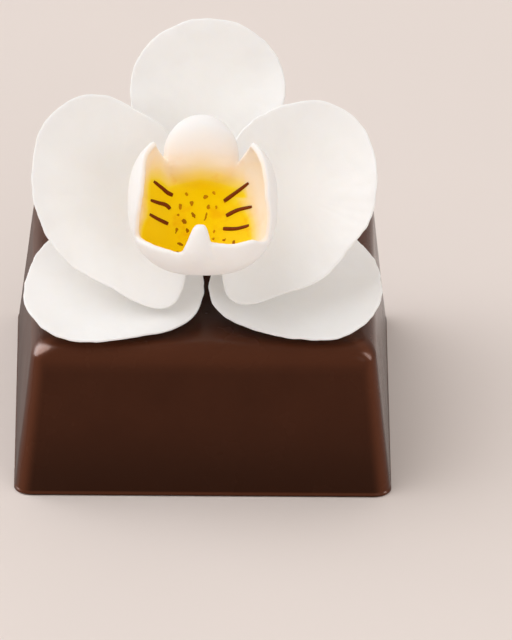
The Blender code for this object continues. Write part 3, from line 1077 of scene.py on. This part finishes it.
def buildFreckleTree():
    tree, get = startGeometryTree("freckles", [
        ("Lip", "Object"), ("Height", "Float"), ("Sink", "Float"), ("Wander", "Float"),
        ("Wander Scale", "Float"), ("Material", "Material")])
    place, normal = onLipSkin(tree, get)
    points = addNode(tree, "GeometryNodeMeshToPoints", Mesh=get["Geometry"])
    laid = addNode(tree, "GeometryNodeSetPosition", Geometry=points, Position=place)
    spot = addNode(tree, "GeometryNodeMeshIcoSphere", Radius=0.5, Subdivisions=4)
    upright = addNode(tree, "FunctionNodeAlignRotationToVector", {"axis": "Z"}, Vector=normal)
    slant = addNode(tree, "ShaderNodeCombineXYZ", Z=namedFloat(tree, "slant").radians())
    slanting = addNode(tree, "FunctionNodeEulerToRotation", Euler=slant)
    turned = addNode(tree, "FunctionNodeRotateRotation", {"rotation_space": "LOCAL"})
    plug(tree, turned.inputs[0], upright)
    plug(tree, turned.inputs[1], slanting)
    shape = addNode(tree, "ShaderNodeCombineXYZ", X=namedFloat(tree, "width"),
                    Y=namedFloat(tree, "length"), Z=get["Height"])
    placed = addNode(tree, "GeometryNodeInstanceOnPoints", Points=laid, Instance=spot, Rotation=turned,
                     Scale=shape)
    real = addNode(tree, "GeometryNodeRealizeInstances", Geometry=placed)
    grain = addNode(tree, "ShaderNodeTexNoise", Scale=get["Wander Scale"], Detail=1.0)
    middle = vectorMath(tree, "SUBTRACT", grain.outputs["Color"], (0.5, 0.5, 0.5))
    shift = vectorMath(tree, "SCALE", middle, scale=get["Wander"] * 2)
    uneven = addNode(tree, "GeometryNodeSetPosition", Geometry=real, Offset=shift)
    endGeometryTree(tree, uneven, get["Material"])
    return tree


def marksOnLip(places):
    directions, angles = np.array([place[:2] for place in places], dtype=float).T
    return lipPoints(lip, directions, angles, marks["guideDepth"]) * mm


def makeStrokes(values):
    points, edges = [], []
    for stroke in values["strokes"]:
        start = len(points)
        points.extend(marksOnLip(stroke))
        edges.extend((start + k, start + k + 1) for k in range(len(stroke) - 1))
    piece = newPiece("brushStrokes", points, [], edges=edges)
    runTree(piece, buildStrokeTree(), {
        "Lip": lipPiece, "Radius": values["strokeRadius"] * mm, "Sink": values["strokeSink"] * mm,
        "Points": values["strokePoints"], "Material": paintMaterial})
    finishPiece(piece, "lip_sugar")


def makeFreckles(values):
    piece = newPiece("freckles", marksOnLip(values["freckles"]), [])
    _, _, lengths, widths, slants, paleness = np.array(values["freckles"], dtype=float).T
    setAttributes(piece, length=lengths * mm, width=widths * mm, slant=slants, pale=paleness)
    runTree(piece, buildFreckleTree(), {
        "Lip": lipPiece, "Height": values["freckleHeight"] * mm, "Sink": values["freckleSink"] * mm,
        "Wander": values["freckleWander"] * mm, "Wander Scale": values["freckleGrain"],
        "Material": paintMaterial})
    finishPiece(piece, "lip_sugar")


makeStrokes(marks)
makeFreckles(marks)


# Heart: the knob of icing behind the petals

heart = {
    # stations of its centre line: (y, z, radius)
    "stations": [
        (0.5, 13.05, 1.75), (0.35, 13.9, 1.6), (-0.3, 15.9, 1.4), (-1.9, 18.2, 1.35),
        (-3.6, 20.1, 1.25), (-4.9, 21.3, 0.88), (-6.15, 22.1, 0.8),
    ],
    "sections": 90,
    "segments": 64,
    "unevenness": 0.05,
    "unevenLength": 1.6,
    "levelFoot": 0.125,  # the share of its length over which its sections turn from level to square
}


def smoothThrough(stations, share):  # a Catmull-Rom curve through the stations, share from 0 to 1
    place = share * (len(stations) - 1)
    index = min(int(place), len(stations) - 2)
    t = place - index
    before = np.array(stations[max(index - 1, 0)])
    here, there = np.array(stations[index]), np.array(stations[index + 1])
    after = np.array(stations[min(index + 2, len(stations) - 1)])
    return 0.5 * (2 * here + (there - before) * t + (2 * before - 5 * here + 4 * there - after) * t ** 2
                  + (3 * here - before - 3 * there + after) * t ** 3)


def makeHeart(values):
    stations, sections, segments = values["stations"], values["sections"], values["segments"]
    side, nearby = Vector((1, 0, 0)), 0.01
    points = []
    for row in range(sections + 1):
        share = row / sections
        y, z, radius = smoothThrough(stations, share)
        ahead = smoothThrough(stations, min(1, share + nearby))
        behind = smoothThrough(stations, max(0, share - nearby))
        along = Vector((0, ahead[0] - behind[0], ahead[1] - behind[1])).normalized()
        leaning = min(1.0, share / values["levelFoot"])
        along = (along * leaning + Vector((0, 0, 1)) * (1 - leaning)).normalized()
        upward = along.cross(side)
        for k in range(segments):
            turn = 2 * math.pi * k / segments
            around = side * math.cos(turn) + upward * math.sin(turn)
            points.append((Vector((0, y, z)) + around * radius) * mm)
    piece = newPiece("flowerHeart", points, tubeFaces(segments, sections + 1), sugarMaterial)
    ruffle(piece.data, values["unevenness"] * mm, values["unevenLength"] * mm, keepBelow=0)
    finishPiece(piece, "white_sugar", "flower_heart")


makeHeart(heart)
